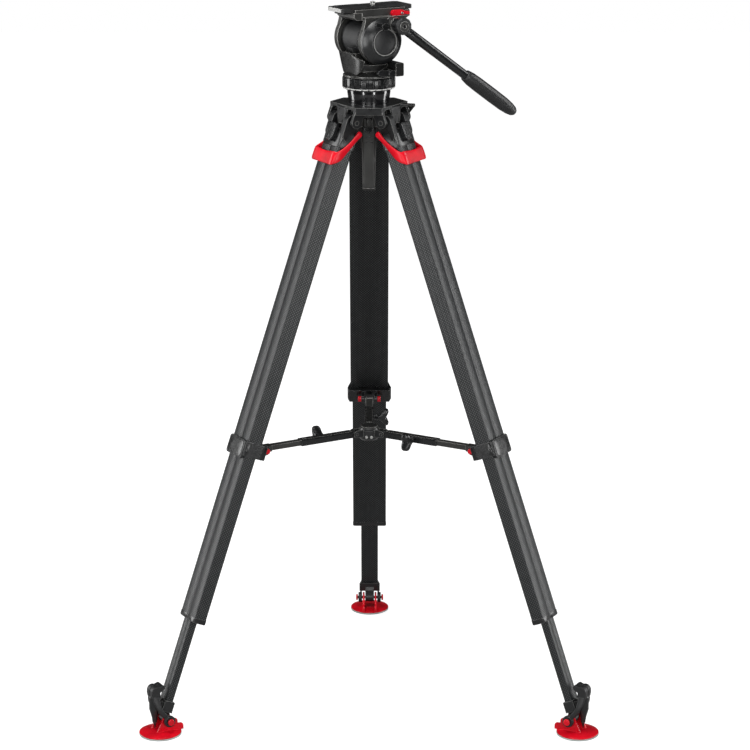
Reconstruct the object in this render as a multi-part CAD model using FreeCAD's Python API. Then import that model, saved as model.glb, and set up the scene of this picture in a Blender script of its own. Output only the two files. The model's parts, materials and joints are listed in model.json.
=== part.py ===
"""Three-legged camera tripod with a fluid head, one STEP file for each sub-part.

Frame: millimetres, +Z up. The origin is on the floor, on the tripod's vertical axis.
The rear leg points along +Y, and the other two stand 120 degrees from it on each side.
"""
import FreeCAD, Part
import math
import os

from FreeCAD import Placement, Rotation, Vector

os.makedirs("parts", exist_ok=True)

# ---------------------------------------------------------------- driving dimensions
LEG_AZIMUTH = {"rear": 90.0, "left": 210.0, "right": 330.0}
LEG_ANGLE = 19.9             # leg from the vertical
LEG_HINGE_R = 50.2           # leg hinge pin, distance from the tripod's axis
LEG_HINGE_Z = 1085.0         # leg hinge pin, height

# Leg section, given in the leg's own frame: n outward from the hinge line, t across.
UPPER = {"n": (-14.0, 12.4), "half": (36.8, 28.7), "s": (46.0, 618.0), "wall": 1.3}
MIDDLE = {"n": (-11.8, 10.2), "half": (33.2, 27.4), "s": (361.0, 934.0), "wall": 1.6}
LOWER = {"n": (-4.3, 8.0), "half": (17.3, 12.3), "s": (580.0, 1104.0), "wall": 1.5}
SLIDE_GAP = 0.4              # between tubes that slide in each other

HINGE_PIN_R = 4.0
RUNNING = 0.05               # radial clearance of a pin in its bore
LUG = (18.2, 32.2)           # the leg's two hinge lugs, from the leg's middle plane
LUG_R = 12.5
FORK = (16.0, 39.0)          # room for a lug in the bowl casting
CHEEK = 45.6                 # outer side of the casting's yoke
TONGUE_R = (42.0, 56.8)      # the yoke's middle part, distance from the tripod's axis
LEVER_PIVOT = (16.6, -38.0)  # brake lever pivot, in the leg's own frame

BOWL_TOP_Z = 1112.0          # top plane of the bowl casting, also the half ball's centre
BALL_R = 37.5                # the 75 mm half ball
BOWL_GAP = 0.3
BOWL_FACE_R = 53.4           # long sides of the hexagonal casting, facing the legs
BOWL_WEB_Z = 1099.5          # underside of the hexagon

RING_R = 47.2                # pan drag ring
RING_Z = (1136.3, 1159.6)

HEAD_TURN = 211.0            # the lens direction, as an angle from +X
TILT_Z = 1225.0              # tilt axis height
COVER_R = 40.5               # side covers of the head
DRUM_R = 33.0
SHAFT_R = 10.0
TILT_RING_R = 36.0           # tilt drag ring
KNOB_AT = (-23.0, 1254.0)    # pan bar clamp, in the head's side plane
BAR_SIDE = 66.0              # pan bar's centre line, sideways from the pan axis
BAR_DROP = 35.5              # pan bar, degrees below the horizontal
BAR_LENGTH = 300.0
BAR_R = 8.3
GRIP_LENGTH = 132.0
PLATE = (-74.0, 69.0)        # rear and front end of the camera plate
PLATE_TOP_Z = 1284.0
CAMERA_SCREW_R = 4.76        # 3/8 inch camera screw
CAMERA_SCREW_X = -8.0

HUB_PIVOT = (30.0, 504.5)    # spreader arm pivot on the hub
BRACKET_PIVOT = (220.8, 503.5)   # spreader arm's far end, on the leg bracket
ARM_END_R = 144.0            # outer end of the spreader's outer arm
ARM_SECTION = (18.0, 12.0)   # width, height
SLIDER_SECTION = (12.6, 9.4)
WING_R = 94.0                # wing screw on the arm

ANKLE = (424.3, 28.1)        # ankle pin of the foot, radial and height
PAD_R = 38.2
PAD_CENTRE = 434.3
SPIKE_R_AT = 443.5           # spike, radial place


# ---------------------------------------------------------------- helpers
def box(x0, x1, y0, y1, z0, z1):
    return Part.makeBox(x1 - x0, y1 - y0, z1 - z0, Vector(x0, y0, z0))


def rod(radius, start, end):
    """Round rod between two points."""
    a, b = Vector(*start), Vector(*end)
    return Part.makeCylinder(radius, (b - a).Length, a, b - a)


def cone(r0, r1, start, end):
    a, b = Vector(*start), Vector(*end)
    return Part.makeCone(r0, r1, (b - a).Length, a, b - a)


def prism(points, direction):
    """Solid from a closed outline of 3-D points, pushed along a direction."""
    pts = [Vector(*p) for p in points]
    wire = Part.makePolygon(pts + [pts[0]])
    return Part.Face(wire).extrude(Vector(*direction))


def side_prism(points, y0, y1):
    """Outline in the XZ plane, from y0 to y1."""
    return prism([(x, y0, z) for x, z in points], (0, y1 - y0, 0))


def turned(points):
    """Solid of revolution about Z from (radius, z) points."""
    pts = [Vector(r, 0, z) for r, z in points]
    face = Part.Face(Part.makePolygon(pts + [pts[0]]))
    return face.revolve(Vector(0, 0, 0), Vector(0, 0, 1), 360)


def joined(*shapes):
    out = shapes[0]
    for shape in shapes[1:]:
        out = out.fuse(shape)
    return out.removeSplitter()


def mirrored(shape):
    """The same shape on the other side of the XZ plane."""
    return shape.mirror(Vector(0, 0, 0), Vector(0, 1, 0))


def both(shape):
    return [shape, mirrored(shape)]


def slot_plate(outline_points, radius, y0, y1):
    """Plate whose outline is the hull of equal discs at two or more points of the XZ plane."""
    plate = None
    for (xa, za), (xb, zb) in zip(outline_points, outline_points[1:]):
        length = math.hypot(xb - xa, zb - za)
        ux, uz = (xb - xa) / length, (zb - za) / length
        px, pz = -uz * radius, ux * radius
        bar = side_prism([(xa + px, za + pz), (xb + px, zb + pz),
                          (xb - px, zb - pz), (xa - px, za - pz)], y0, y1)
        bar = joined(bar, rod(radius, (xa, y0, za), (xa, y1, za)), rod(radius, (xb, y0, zb), (xb, y1, zb)))
        plate = bar if plate is None else joined(plate, bar)
    return plate


def rounded(shape, radius, picks=None):
    """Fillet the edges that a test picks, or all of them; keeps the shape if it can't."""
    edges = [e for e in shape.Edges if picks is None or picks(e)]
    try:
        out = shape.makeFillet(radius, edges)
        return out if out.isValid() and out.Volume > 0 else shape
    except Exception:
        return shape


def along(direction):
    """Test for straight edges that run along a direction."""
    unit = Vector(*direction).normalize()

    def test(edge):
        if not isinstance(edge.Curve, Part.Line):
            return False
        return abs(edge.tangentAt(edge.FirstParameter).dot(unit)) > 0.999
    return test


def section(spec, grow=0.0):
    """Trapezoid section of a leg tube in (n, t), grown outward by a distance."""
    n0, n1 = spec["n"]
    h0, h1 = spec["half"]
    slope = (h0 - h1) / (n1 - n0)
    side = grow * math.hypot(1.0, slope)
    a, b = n0 - grow, n1 + grow
    return [(a, h0 + slope * grow + side), (b, h1 - slope * grow + side)]


def trapezoid(spec, s0, s1, grow=0.0):
    """Solid bar of a tube's section from s0 to s1 down the leg."""
    (a, ha), (b, hb) = section(spec, grow)
    return prism([(a, -ha, -s1), (b, -hb, -s1), (b, hb, -s1), (a, ha, -s1)], (0, 0, s1 - s0))


def in_leg(shape):
    """From the leg's own frame (x out, y across, z up the leg) to azimuth 0."""
    out = shape.copy()
    out.Placement = Placement(Vector(LEG_HINGE_R, 0, LEG_HINGE_Z), Rotation(Vector(0, 1, 0), -LEG_ANGLE))
    return out


def leg_point(r, z):
    """A point of the azimuth 0 plane in the leg's own frame."""
    a = math.radians(LEG_ANGLE)
    dr, dz = r - LEG_HINGE_R, z - LEG_HINGE_Z
    return dr * math.cos(a) + dz * math.sin(a), -dr * math.sin(a) + dz * math.cos(a)


def turn(shape, degrees):
    out = shape.copy()
    out.rotate(Vector(0, 0, 0), Vector(0, 0, 1), degrees)
    return out


def in_head(shape):
    """From the head's own frame (x to the lens, y to the pan bar's side) to the tripod's."""
    return turn(shape, HEAD_TURN)


def save(name, shapes):
    solids = []
    for shape in shapes if isinstance(shapes, list) else [shapes]:
        solids += shape.Solids
    assert solids and all(s.isValid() and s.Volume > 1 for s in solids), name
    shape = solids[0] if len(solids) == 1 else Part.makeCompound(solids)
    shape.exportStep("parts/%s.step" % name)
    print("%-22s %2d solid(s) %10.0f mm3" % (name, len(solids), sum(s.Volume for s in solids)))


# ---------------------------------------------------------------- bowl and leg hinges
def bowl_casting():
    ring = turned([(33.2, 1092.0), (47.0, 1092.0), (50.0, 1096.0), (50.0, BOWL_TOP_Z), (30.0, BOWL_TOP_Z)])
    corners = []
    for azimuth in LEG_AZIMUTH.values():
        for side in (-CHEEK, CHEEK):
            a = math.radians(azimuth) + math.atan2(side, BOWL_FACE_R)
            r = math.hypot(side, BOWL_FACE_R)
            corners.append((r * math.cos(a), r * math.sin(a), BOWL_WEB_Z))
    hexagon = rounded(prism(corners, (0, 0, BOWL_TOP_Z - BOWL_WEB_Z)), 2.0, along((0, 0, 1)))
    hexagon = hexagon.cut(rod(36.0, (0, 0, 1090), (0, 0, 1120)))
    tongue = box(*TONGUE_R, -FORK[0], FORK[0], LEG_HINGE_Z - 7.5, BOWL_TOP_Z - 1.5)
    tongue = rounded(tongue, 3.0, lambda e: e.BoundBox.XMin > TONGUE_R[1] - 1)
    cheek = slot_plate([(LEG_HINGE_R, LEG_HINGE_Z), (LEG_HINGE_R - 6, 1101.0)], 9.6, FORK[1], CHEEK)
    yokes = [turn(part, a) for part in [tongue] + both(cheek) for a in LEG_AZIMUTH.values()]
    tab = prism([(56, -12, 1110.5), (82, -12, 1109.0), (82, -12, 1106.0), (71, -12, 1090.0), (56, -12, 1090.0)],
                (0, 16, 0))
    body = joined(ring, hexagon, *yokes, tab)
    body = body.cut(Part.makeSphere(BALL_R + BOWL_GAP, Vector(0, 0, BOWL_TOP_Z)))
    for azimuth in LEG_AZIMUTH.values():
        arch = box(45.0, 90.0, *FORK, LEG_HINGE_Z, BOWL_TOP_Z - 13.0)
        arch = joined(arch, box(45.0, 90.0, FORK[0] + 8, FORK[1] - 8, LEG_HINGE_Z, BOWL_TOP_Z - 5.0),
                      rod(8.0, (45.0, FORK[0] + 8, 1099.0), (90.0, FORK[0] + 8, 1099.0)),
                      rod(8.0, (45.0, FORK[1] - 8, 1099.0), (90.0, FORK[1] - 8, 1099.0)),
                      rod(LUG_R + 1.5, (LEG_HINGE_R, FORK[0], LEG_HINGE_Z), (LEG_HINGE_R, FORK[1], LEG_HINGE_Z)))
        for cutter in both(arch):
            body = body.cut(turn(cutter, azimuth))
        insert = box(TONGUE_R[1] - 1.2, TONGUE_R[1] + 1, -9.5, 9.5, LEG_HINGE_Z - 5.5, LEG_HINGE_Z + 10)
        body = body.cut(turn(insert, azimuth))
        body = body.cut(turn(hinge_pin(), azimuth))
    save("bowl_casting", body)
    save("leg_hinge_pins", [turn(hinge_pin(), azimuth) for azimuth in LEG_AZIMUTH.values()])


def hinge_pin():
    return rod(HINGE_PIN_R, (LEG_HINGE_R, -CHEEK, LEG_HINGE_Z), (LEG_HINGE_R, CHEEK, LEG_HINGE_Z))


def half_ball():
    ball = Part.makeSphere(BALL_R, Vector(0, 0, BOWL_TOP_Z))
    ball = ball.common(box(-50, 50, -50, 50, 1092.0, BOWL_TOP_Z))
    neck = turned([(0, BOWL_TOP_Z), (36.3, BOWL_TOP_Z), (36.5, 1118.0), (38.3, 1131.0), (38.3, 1136.0),
                   (20.0, 1136.0), (20.0, 1160.0), (0, 1160.0)])
    body = joined(ball, neck)
    stud_hole = rod(6.0, (0, 0, 1060), (0, 0, 1104))
    save("half_ball", body.cut(stud_hole))


def clamp_handle():
    stud = rod(6.0 - RUNNING, (0, 0, 1075), (0, 0, 1103.5))
    nut = turned([(0, 1071.0), (23.0, 1071.0), (26.0, 1074.0), (26.0, 1087.0), (22.5, 1091.2), (0, 1091.2)])
    slabs = [(1090.0, 14.4, 24.5), (1066.0, 14.2, 18.0), (1040.0, 13.2, 13.0), (1000.0, 12.2, 10.5),
             (964.0, 11.3, 9.0), (956.0, 9.8, 7.0)]
    wires = []
    for z, half_x, half_y in slabs:
        pts = [Vector(-half_x, -half_y, z), Vector(half_x, -half_y, z),
               Vector(half_x, half_y, z), Vector(-half_x, half_y, z)]
        wires.append(Part.makePolygon(pts + [pts[0]]))
    grip = Part.makeLoft(wires, True, True)
    medallion = rod(10.0, (0, -24.0, 1070.0), (0, 24.0, 1070.0))
    save("clamp_handle", joined(stud, nut, grip, medallion))


# ---------------------------------------------------------------- fluid head
def pan_parts():
    ring = turned([(20.0 + RUNNING, RING_Z[0]), (40.0, RING_Z[0]), (RING_R - 0.7, 1141.0), (RING_R, 1142.5),
                   (RING_R, 1157.5), (RING_R - 2, RING_Z[1]), (20.0 + RUNNING, RING_Z[1])])
    count = 27
    groove = box(RING_R - 1.6, RING_R + 2, -2.2, 2.2, 1143.5, 1162.0)
    for i in range(count):
        ring = ring.cut(turn(groove, 360.0 * i / count))
    save("pan_drag_ring", ring)

    base = turned([(0, 1160.3), (45.8, 1160.3), (45.8, 1163.0), (40.0, 1166.5), (34.0, 1170.0), (33.0, 1172.0),
                   (38.5, 1187.0), (41.5, 1203.0), (0, 1203.0)])
    keep = box(-60, 60, -40.4, 17.2, 1160, 1210)
    keep = joined(keep, box(-60, 60, -60, 60, 1160, 1183.0))
    base = base.common(keep)
    axis = ((0, -60, TILT_Z), (0, 60, TILT_Z))
    arms_room = [rod(COVER_R + 0.8, (0, -60, TILT_Z), (0, -40.4, TILT_Z)),
                 rod(COVER_R + 0.8, (0, 17.2, TILT_Z), (0, 60, TILT_Z))]
    for room in arms_room:
        base = base.cut(room)
    base = base.cut(rod(DRUM_R, *axis))
    brake_block = rounded(box(-37.0, -20.6, 20.0, 58.0, 1163.5, 1187.0), 2.5, along((0, 1, 0)))
    boss = rod(7.0, (-13.4, 20.0, 1169.0), (-13.4, 49.0, 1169.0))
    base = joined(base, brake_block, boss)
    base = base.cut(rod(3.0 + RUNNING, (-13.4, 30.0, 1169.0), (-13.4, 60.0, 1169.0)))
    save("head_base", in_head(base))

    lever = slot_plate([(-13.4, 1169.0), (9.5, 1171.5)], 5.0, 49.6, 57.0)
    hub = rod(6.6, (-13.4, 49.6, 1169.0), (-13.4, 58.5, 1169.0))
    pin = rod(3.0, (-13.4, 30.5, 1169.0), (-13.4, 50.0, 1169.0))
    save("pan_brake_lever", in_head(joined(lever, hub, pin)))

    drum = rod(DRUM_R, (0, -40.0, TILT_Z), (0, 17.0, TILT_Z))
    drum = joined(drum, rod(SHAFT_R, (0, -49.0, TILT_Z), (0, 49.0, TILT_Z)))
    nose = box(24.0, 40.0, -6.0, 8.0, 1203.0, 1212.0)
    save("tilt_drum", in_head(joined(drum, nose.common(rod(42.0, (0, -40, TILT_Z), (0, 40, TILT_Z))))))


def arm_outline(y0, y1):
    """A cradle arm: a disc round the tilt axis carried up to the platform."""
    disc = rod(COVER_R, (0, y0, TILT_Z), (0, y1, TILT_Z))
    neck = side_prism([(-36.0, TILT_Z + 16), (36.0, TILT_Z + 16), (30.0, 1263.0), (-34.0, 1263.0)], y0, y1)
    return joined(disc, neck)


def tilt_parts():
    bore = rod(SHAFT_R + RUNNING, (0, -60, TILT_Z), (0, 60, TILT_Z))
    far = arm_outline(-51.5, -41.0)
    near = arm_outline(31.0, 40.0)
    knob_x, knob_z = KNOB_AT
    boss = rod(13.0, (knob_x, 34.0, knob_z), (knob_x, 57.8, knob_z))
    platform = side_prism([(41.0, 1262.5), (47.0, 1267.0), (47.0, 1276.0), (-58.0, 1276.0), (-58.0, 1266.0),
                           (-50.0, 1261.0)], -51.5, 40.0)
    platform = platform.cut(box(-80, 80, -60, -36.0, 1267.5, 1280))
    platform = platform.cut(box(-80, 80, 30.0, 60.0, 1267.5, 1280))
    platform = platform.cut(box(31.0, 80, -60, -29.0, 1250, 1280))
    platform = platform.cut(box(31.0, 80, 29.0, 60.0, 1250, 1280))
    groove = box(-80, 80, -15.4, 15.4, 1271.6, 1290)
    jaws = both(box(-56.0, 45.0, 26.6, 30.0, 1275.0, 1280.5))
    rear_block = rounded(box(-66.0, -50.0, -22.0, 30.0, 1264.0, 1276.0), 2.0, along((0, 1, 0)))
    cradle = joined(far, near, boss, platform, rear_block, *jaws)
    cradle = cradle.cut(bore).cut(groove)
    cradle = cradle.cut(rod(4.0 + RUNNING, (knob_x, 42.0, knob_z), (knob_x, 70.0, knob_z)))
    cradle = cradle.cut(rod(3.0 + RUNNING, (-46.0, 20.0, 1271.0), (-46.0, 60.0, 1271.0)))
    cradle = cradle.cut(box(-62.0, -52.0, 17.5, 40.0, 1268.0, 1274.0))
    cradle = cradle.cut(box(-53.0, -25.0, 30.2, 36.7, 1264.6, 1268.0))
    save("tilt_cradle", in_head(cradle))

    near_cover = rod(COVER_R, (0, 40.0, TILT_Z), (0, 57.0, TILT_Z))
    near_cover = rounded(near_cover, 6.0, lambda e: e.BoundBox.YMin > 56 and e.BoundBox.YMax < 58)
    near_cover = near_cover.cut(rod(13.4, (knob_x, 30.0, knob_z), (knob_x, 60.0, knob_z)))
    near_cover = near_cover.cut(rod(SHAFT_R + 0.3, (0, 30, TILT_Z), (0, 50.0, TILT_Z)))
    emblem = rod(23.5, (0, 56.2, TILT_Z), (0, 60, TILT_Z)).cut(rod(22.3, (0, 50, TILT_Z), (0, 60, TILT_Z)))
    near_cover = near_cover.cut(emblem)
    near_cover = near_cover.cut(rod(3.0 + RUNNING, (3.8, 48.0, 1253.0), (3.8, 60.0, 1253.0)))
    far_cover = rod(COVER_R - 3, (0, -57.5, TILT_Z), (0, -51.5, TILT_Z))
    far_cover = rounded(far_cover, 4.0, lambda e: e.BoundBox.YMax < -57)
    save("side_covers", [in_head(near_cover), in_head(far_cover)])

    ring = rod(TILT_RING_R, (0, 18.0, TILT_Z), (0, 30.2, TILT_Z)).cut(bore)
    count = 24
    for i in range(count):
        notch = box(TILT_RING_R - 2.0, 40.0, 21.0, 31.0, TILT_Z - 2.2, TILT_Z + 2.2)
        notch.rotate(Vector(0, 0, TILT_Z), Vector(0, 1, 0), 360.0 * i / count)
        ring = ring.cut(notch)
    save("tilt_drag_ring", in_head(ring))

    lever = slot_plate([(3.8, 1253.0), (19.0, 1256.5)], 3.6, 57.5, 62.5)
    lever = joined(lever, rod(6.4, (3.8, 57.5, 1253.0), (3.8, 64.0, 1253.0)),
                   rod(3.0, (3.8, 48.5, 1253.0), (3.8, 58.0, 1253.0)))
    save("tilt_brake_lever", in_head(lever))


def bar_parts():
    knob_x, knob_z = KNOB_AT
    knob = rod(15.2, (knob_x, 74.6, knob_z), (knob_x, 83.0, knob_z))
    knob = rounded(knob, 2.0, lambda e: e.BoundBox.YMin > 82)
    bolt = rod(4.0, (knob_x, 42.5, knob_z), (knob_x, 76.0, knob_z))
    knob = knob.cut(rod(8.8, (knob_x, 82.0, knob_z), (knob_x, 84, knob_z)))
    save("bar_clamp_knob", in_head(joined(knob, bolt)))

    a = math.radians(BAR_DROP)
    dx, dz = -math.cos(a), -math.sin(a)

    def point(length):
        return (knob_x + dx * length, BAR_SIDE, knob_z + dz * length)

    head = rod(13.0, (knob_x, 58.1, knob_z), (knob_x, 74.3, knob_z))
    neck = rod(7.2, point(4.0), point(20.0))
    tube = rod(BAR_R, point(15.0), point(BAR_LENGTH - GRIP_LENGTH + 12))
    bar = joined(head, neck, tube).cut(rod(4.0 + RUNNING, (knob_x, 50, knob_z), (knob_x, 80, knob_z)))
    save("pan_bar", in_head(bar))
    start = BAR_LENGTH - GRIP_LENGTH
    grip = joined(cone(9.8, 12.4, point(start), point(start + 16)),
                  cone(12.4, 13.0, point(start + 16), point(BAR_LENGTH - 34)),
                  cone(13.0, 9.0, point(BAR_LENGTH - 34), point(BAR_LENGTH - 4)),
                  cone(9.0, 4.5, point(BAR_LENGTH - 4), point(BAR_LENGTH)))
    grip = grip.cut(rod(BAR_R, point(0), point(start + 12)))
    save("pan_bar_grip", in_head(grip))


def plate_parts():
    plate = box(*PLATE, -26.0, 26.0, 1276.3, PLATE_TOP_Z)
    plate = rounded(plate, 3.0, along((0, 0, 1)))
    rail = box(PLATE[0], PLATE[1] - 8.0, -15.0, 15.0, 1272.0, 1277.0)
    x = CAMERA_SCREW_X
    screw_hole = rod(CAMERA_SCREW_R + RUNNING, (x, 0, 1270), (x, 0, 1290))
    pocket = rod(9.3, (x, 0, 1270), (x, 0, 1278.3))
    save("camera_plate", in_head(joined(plate, rail).cut(screw_hole).cut(pocket)))

    screw = joined(rod(CAMERA_SCREW_R, (x, 0, PLATE_TOP_Z + 0.5), (x, 0, PLATE_TOP_Z + 6.5)),
                   rod(4.0, (x, 0, 1275.0), (x, 0, PLATE_TOP_Z + 1.0)),
                   rod(9.0, (x, 0, 1273.0), (x, 0, 1278.0)))
    save("camera_screw", in_head(screw))

    lever = slot_plate([(-46.0, 1271.0), (-31.5, 1271.2)], 5.8, 30.5, 36.4)
    pin = rod(3.0, (-46.0, 20.5, 1271.0), (-46.0, 32.0, 1271.0))
    save("plate_lever", in_head(joined(lever, pin)))
    catch = box(-61.4, -52.6, 21.0, 38.0, 1268.6, 1273.4)
    save("plate_catch", in_head(rounded(catch, 1.2, along((0, 1, 0)))))


# ---------------------------------------------------------------- legs
def leg_parts(name, azimuth):
    def put(shape):
        return turn(in_leg(shape), azimuth)

    (n0, n1), (h0, h1) = UPPER["n"], UPPER["half"]
    lugs = both(slot_plate([(0, 0), (0, -24.0)], LUG_R, *LUG))
    collar = trapezoid(UPPER, 24.0, UPPER["s"][0])
    wedge_low = [(n0, -h0, -24.0), (n1, -h1, -24.0), (n1, h1, -24.0), (n0, h0, -24.0)]
    wedge_top = [(n0 + 4, -25.0, -17.0), (n1 - 3, -19.5, -17.0), (n1 - 3, 19.5, -17.0), (n0 + 4, 25.0, -17.0)]
    wedge = Part.makeLoft([Part.makePolygon([Vector(*p) for p in pts + pts[:1]])
                           for pts in (wedge_low, wedge_top)], True, True)
    plug = trapezoid(UPPER, 40.0, 64.0, -UPPER["wall"] - 0.01)
    lever_seat = slot_plate([LEVER_PIVOT, (10.0, LEVER_PIVOT[1])], 2.6, -7.0, 7.0)
    fitting = joined(*lugs, collar, wedge, plug, lever_seat)
    fitting = fitting.cut(rod(HINGE_PIN_R + RUNNING, (0, -40, 0), (0, 40, 0)))
    pn, pz = LEVER_PIVOT
    fitting = fitting.cut(rod(1.5 + RUNNING, (pn, -20, pz), (pn, 20, pz)))
    save("top_fitting_" + name, put(fitting))

    lever = rounded(box(pn + 2.9, pn + 5.9, -12.0, 12.0, pz - 4.0, -9.0), 3.0, along((1, 0, 0)))
    cheeks = both(box(13.0, pn + 3.5, 7.4, 11.0, pz, -12.0))
    eyes = both(rod(3.6, (pn, 7.4, pz), (pn, 11.0, pz)))
    lever = joined(lever, *cheeks, *eyes, rod(1.5, (pn, -9.0, pz), (pn, 9.0, pz)))
    save("brake_lever_" + name, put(lever))

    bore = trapezoid(UPPER, 0, 700, -UPPER["wall"])
    tube = trapezoid(UPPER, *UPPER["s"])
    save("upper_tube_" + name, put(tube.cut(bore)))

    band = box(17.6, 22.0, -41.2, 41.2, -79.0, -54.0)
    band = rounded(band, 4.0, lambda e: along((0, 0, 1))(e) and e.BoundBox.XMin > 20)
    arm = side_prism([(22.0, -56.0), (22.0, -79.0), (-3.5, -74.0), (-5.5, -62.0), (-20.5, -20.0), (-20.5, -11.0),
                      (-13.5, -9.5), (2.0, -45.0)], 37.2, 41.2)
    save("carry_loop_" + name, put(joined(band, *both(arm))))

    rim = [(-25.5, 38.0), (n0, h0 + 5.0), (8.0, 35.0), (15.6, 29.0)]
    rim = rim + [(n, -t) for n, t in reversed(rim)]
    ring = prism([(n, t, -620.0) for n, t in rim], (0, 0, 26.0))
    cover = rounded(box(8.0, 17.5, -28.0, 28.0, -626.0, -593.0), 5.0, along((1, 0, 0)))
    pn, pz = leg_point(*BRACKET_PIVOT)
    lug = both(slot_plate([(pn, pz), (-22.0, pz)], 8.5, 9.5, 15.0))
    buttons = both(rod(5.0, (pn, 15.0, pz), (pn, 21.5, pz)))
    bracket = joined(ring, cover, *lug).cut(trapezoid(UPPER, 500, 700))
    save("bracket_" + name, put(joined(bracket, *buttons)))

    tube = trapezoid(MIDDLE, *MIDDLE["s"]).cut(trapezoid(MIDDLE, 0, 1000, -MIDDLE["wall"]))
    plug = trapezoid(MIDDLE, MIDDLE["s"][1] - 16, MIDDLE["s"][1], -0.2)
    tube = joined(tube, plug).cut(trapezoid(LOWER, 0, 1200, SLIDE_GAP))
    save("middle_tube_" + name, put(tube))

    tube = trapezoid(LOWER, *LOWER["s"]).cut(trapezoid(LOWER, 0, 1200, -LOWER["wall"]))
    save("lower_tube_" + name, put(tube))
    foot_parts(name, azimuth)


def foot_parts(name, azimuth):
    ax, az = ANKLE
    n, z = leg_point(ax, az)
    end = LOWER["s"][1]
    grip = trapezoid(LOWER, end - 18, end + 2, 2.2).cut(trapezoid(LOWER, end - 100, end))
    inner = trapezoid(LOWER, end - 40, end, -LOWER["wall"] - 0.01)
    neck = side_prism([(-6.0, -end), (10.0, -end), (n + 8.0, z), (n - 8.0, z)], -8.8, 8.8)
    knuckle = rod(8.6, (n, -8.8, z), (n, 8.8, z))
    ankle = in_leg(joined(grip, inner, neck, knuckle))
    bridge = side_prism([(414.0, 46.0), (440.0, 50.0), (440.0, 66.0), (421.0, 60.0)], -8.0, 8.0)
    bridge = bridge.cut(in_leg(trapezoid(LOWER, 1000, LOWER["s"][1])))
    holder = turned([(0, 24.0), (4.0, 24.0), (5.2, 34.0), (9.5, 50.0), (9.5, 73.0), (7.5, 76.0), (0, 76.0)])
    spike = turned([(0, 11.0), (3.3, 24.5), (0, 24.5)])
    holder = joined(holder, spike)
    holder.translate(Vector(SPIKE_R_AT + 1.5, 0, 0))
    pin = joined(rod(3.0, (ax, -26.0, az), (ax, 26.0, az)),
                 *both(rod(5.9, (ax, 24.0, az), (ax, 26.0, az))))
    save("ankle_" + name, turn(joined(ankle, bridge, holder, pin), azimuth))

    pad = turned([(0, 0), (PAD_R - 1.2, 0), (PAD_R, 1.2), (PAD_R, 4.0), (PAD_R - 4, 7.0), (24.0, 8.6), (0, 8.6)])
    pad.translate(Vector(PAD_CENTRE, 0, 0))
    fin = side_prism([(393.5, 5.0), (393.5, 13.5), (397.0, 17.0), (404.0, 18.5), (415.0, 31.0), (421.0, 36.6),
                      (430.0, 37.6), (437.2, 35.7), (447.1, 8.0), (447.1, 5.0)], 9.4, 14.2)
    pad = joined(pad, *both(fin))
    pad = pad.cut(rod(9.0, (SPIKE_R_AT, 0, 3.2), (SPIKE_R_AT, 0, 20)))
    pad = pad.cut(rod(3.0 + RUNNING, (ax, -30, az), (ax, 30, az)))
    pad = pad.cut(rod(1.5, (399.0, -30, 12.5), (399.0, 30, 12.5)))
    save("foot_pad_" + name, turn(pad, azimuth))

    eye = [rod(10.5, (ax, 14.7, az), (ax, 23.6, az)),
           slot_plate([(ax, az), (440.0, 46.0), (455.0, 66.0), (452.0, 84.0)], 5.0, 14.7, 20.5)]
    hook = slot_plate([(452.0, 84.0), (446.0, 97.5)], 4.5, -20.5, 20.5)
    lobe = slot_plate([(452.0, 84.0), (460.5, 87.5)], 4.0, -20.5, 20.5)
    tip = slot_plate([(446.0, 97.5), (439.5, 98.5)], 3.5, -20.5, 20.5)
    strap = joined(hook, lobe, tip, *both(joined(*eye)))
    strap = strap.cut(rod(3.0 + RUNNING, (ax, -30, az), (ax, 30, az)))
    save("foot_strap_" + name, turn(strap, azimuth))


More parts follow.
